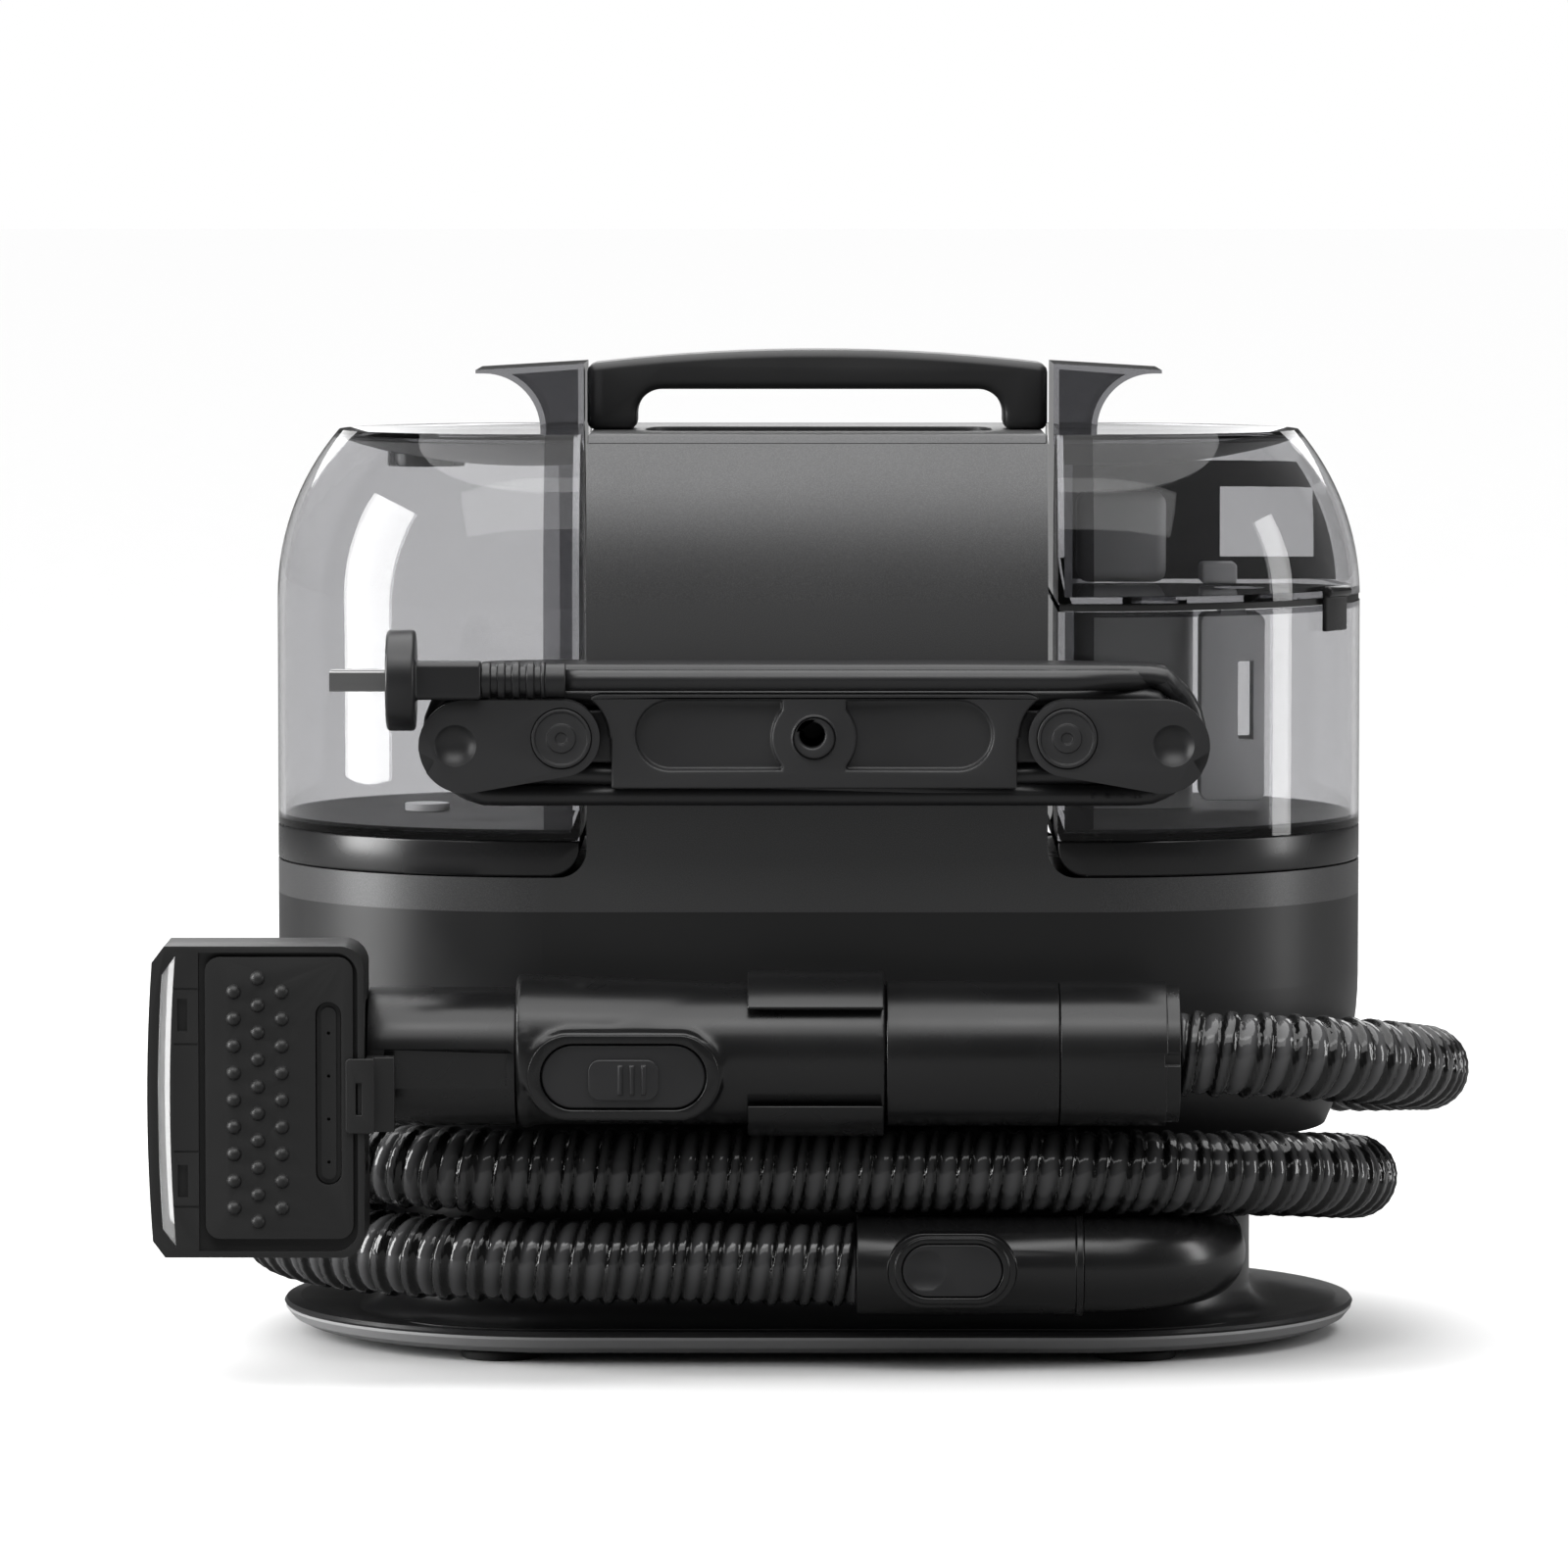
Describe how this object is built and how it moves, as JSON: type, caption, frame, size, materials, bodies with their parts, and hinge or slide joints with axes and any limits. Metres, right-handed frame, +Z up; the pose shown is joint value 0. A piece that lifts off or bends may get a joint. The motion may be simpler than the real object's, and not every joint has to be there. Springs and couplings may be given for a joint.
{
  "type": "carpet cleaner machine",
  "caption": "Portable spot carpet cleaner with lift-off clean and dirty water tanks, cord wrap, ribbed suction hose and spray wand with a brush head.",
  "frame": {"origin": "on the floor under the middle of the body, centre of the four foot screws", "axes": "+Z up, +X along the body towards the dirty water tank, -Y towards the side with cord, wand and hose"},
  "size_m": [0.4632, 0.2963, 0.3536],
  "materials": {
    "satin_grey": "satin with a fine metallic grain",
    "body_black": "fine satin moulding",
    "waist_black": "satin gloss",
    "tray_grey": "satin",
    "skirt_grey": "satin",
    "foot_rubber": "matt",
    "wrap_black": "matt moulding",
    "handle_black": "fine satin moulding",
    "cord_black": "satin sheath",
    "plug_steel": "brushed",
    "wand_black": "satin gloss",
    "button_grey": "satin",
    "hose_smoke": "glossy smoked",
    "brush_black": "matt",
    "clear_tank": "clear smoked",
    "tinted_lid": "tinted",
    "tank_black": "satin gloss",
    "seal_rubber": "soft",
    "float_grey": "satin",
    "window_clear": "clear",
    "motor_grey": "cast",
    "board_green": "solder mask",
    "panel_gloss": "glossy"
  },
  "bodies": {
    "machine": {"base_tray": "tray_grey", "base_skirt": "skirt_grey", "rubber_feet": "foot_rubber", "waist_shell": "waist_black", "lower_shell": "body_black", "body_band": "satin_grey", "tank_deck": "tank_black", "rear_column_cover": "satin_grey", "front_column_cover": "satin_grey", "column_side_walls": "tank_black", "top_cover": "satin_grey", "carry_handle": "handle_black", "cord_wrap_bracket": "wrap_black", "hook_pivot_caps": "wrap_black", "power_cord_winding": "cord_black", "power_cord_lead": "cord_black", "plug_housing": "cord_black", "plug_blades": "plug_steel", "plug_strain_relief": "cord_black", "cord_gland": "cord_black", "hose_outlet_elbow": "wand_black", "hose_connector": "wand_black", "suction_hose": "hose_smoke", "wand_clip": "wand_black", "wand_grip": "wand_black", "wand_tube": "wand_black", "wand_neck": "wand_black", "trigger_bezel": "wand_black", "motor_housing": "motor_grey", "water_pump": "float_grey", "circuit_board": "board_green", "exhaust_grille": "body_black", "control_panel": "panel_gloss"},
    "clean_tank": {"clean_tank_shell": "clear_tank", "clean_tank_base": "tank_black"},
    "clean_cap": {"clean_tank_cap": "tank_black"},
    "clean_valve": {"clean_tank_valve": "float_grey"},
    "dirty_tank": {"dirty_bucket": "clear_tank", "dirty_base": "tank_black", "suction_riser": "float_grey"},
    "dirty_tank_lid": {"dirty_lid": "tinted_lid", "lid_seal": "seal_rubber", "float_guide": "float_grey"},
    "latch": {"lid_latch": "tank_black"},
    "float": {"float_block": "float_grey"},
    "left_hook": {"cord_hook_left": "wrap_black"},
    "right_hook": {"cord_hook_right": "wrap_black"},
    "hose_button": {"hose_release_button": "button_grey"},
    "cuff": {"hose_cuff": "wand_black"},
    "trigger": {"spray_trigger": "button_grey"},
    "lock": {"trigger_lock": "button_grey"},
    "brush_head": {"nozzle_head": "brush_black", "nozzle_window": "window_clear", "scrub_plate": "brush_black", "spray_bar": "brush_black"},
    "head_clip": {"head_latch": "brush_black"},
    "fan": {"fan_rotor": "motor_grey"},
    "plunger": {"pump_plunger": "plug_steel"},
    "power_key": {"power_button": "button_grey"},
    "mode_key": {"mode_button": "button_grey"}
  },
  "joints": [
    {"name": "clean_tank_lift", "type": "slide", "parent": "machine", "child": "clean_tank", "axis": [0, 0, 1], "range_m": [0, 0.12]},
    {"name": "clean_cap_pull", "type": "slide", "parent": "clean_tank", "child": "clean_cap", "axis": [0, 0, 1], "range_m": [0, 0.025]},
    {"name": "clean_valve_lift", "type": "slide", "parent": "clean_tank", "child": "clean_valve", "axis": [0, 0, 1], "range_m": [0, 0.004], "stiffness_N_per_m": 300},
    {"name": "dirty_tank_lift", "type": "slide", "parent": "machine", "child": "dirty_tank", "axis": [0, 0, 1], "range_m": [0, 0.12]},
    {"name": "dirty_lid_lift", "type": "slide", "parent": "dirty_tank", "child": "dirty_tank_lid", "axis": [0, 0, 1], "range_m": [0, 0.075]},
    {"name": "lid_latch_swing", "type": "hinge", "parent": "dirty_tank_lid", "child": "latch", "pos_m": [0.18345, -0.0502, 0.269], "axis": [-0.5, -0.866, 0], "range_deg": [0, 60]},
    {"name": "float_rise", "type": "slide", "parent": "dirty_tank_lid", "child": "float", "axis": [0, 0, 1], "range_m": [0, 0.03]},
    {"name": "left_hook_swing", "type": "hinge", "parent": "machine", "child": "left_hook", "pos_m": [-0.0885, -0.136, 0.2226], "axis": [0, -1, 0], "range_deg": [0, 90]},
    {"name": "right_hook_swing", "type": "hinge", "parent": "machine", "child": "right_hook", "pos_m": [0.0855, -0.136, 0.2226], "axis": [0, 1, 0], "range_deg": [0, 90]},
    {"name": "hose_button_press", "type": "slide", "parent": "machine", "child": "hose_button", "axis": [0, 1, 0], "range_m": [0, 0.0025], "stiffness_N_per_m": 800},
    {"name": "hose_cuff_swivel", "type": "hinge", "parent": "machine", "child": "cuff", "pos_m": [0.104, -0.127, 0.1125], "axis": [1, 0, 0], "continuous": true},
    {"name": "spray_trigger_press", "type": "slide", "parent": "machine", "child": "trigger", "axis": [0, 1, 0], "range_m": [0, 0.003], "stiffness_N_per_m": 900},
    {"name": "trigger_lock_slide", "type": "slide", "parent": "trigger", "child": "lock", "axis": [1, 0, 0], "range_m": [0, 0.006]},
    {"name": "brush_head_slide", "type": "slide", "parent": "machine", "child": "brush_head", "axis": [-1, 0, 0], "range_m": [0, 0.04]},
    {"name": "head_latch_swing", "type": "hinge", "parent": "brush_head", "child": "head_clip", "pos_m": [-0.1478, -0.1542, 0.1013], "axis": [0, 0, 1], "range_deg": [0, 20]},
    {"name": "fan_spin", "type": "hinge", "parent": "machine", "child": "fan", "pos_m": [0, 0, 0.1], "axis": [0, 0, 1], "continuous": true},
    {"name": "pump_stroke", "type": "slide", "parent": "machine", "child": "plunger", "axis": [0, 0, 1], "range_m": [0, 0.004]},
    {"name": "power_button_press", "type": "slide", "parent": "machine", "child": "power_key", "axis": [0, -1, 0], "range_m": [0, 0.0015], "stiffness_N_per_m": 700},
    {"name": "mode_button_press", "type": "slide", "parent": "machine", "child": "mode_key", "axis": [0, -1, 0], "range_m": [0, 0.0015], "stiffness_N_per_m": 700}
  ]
}
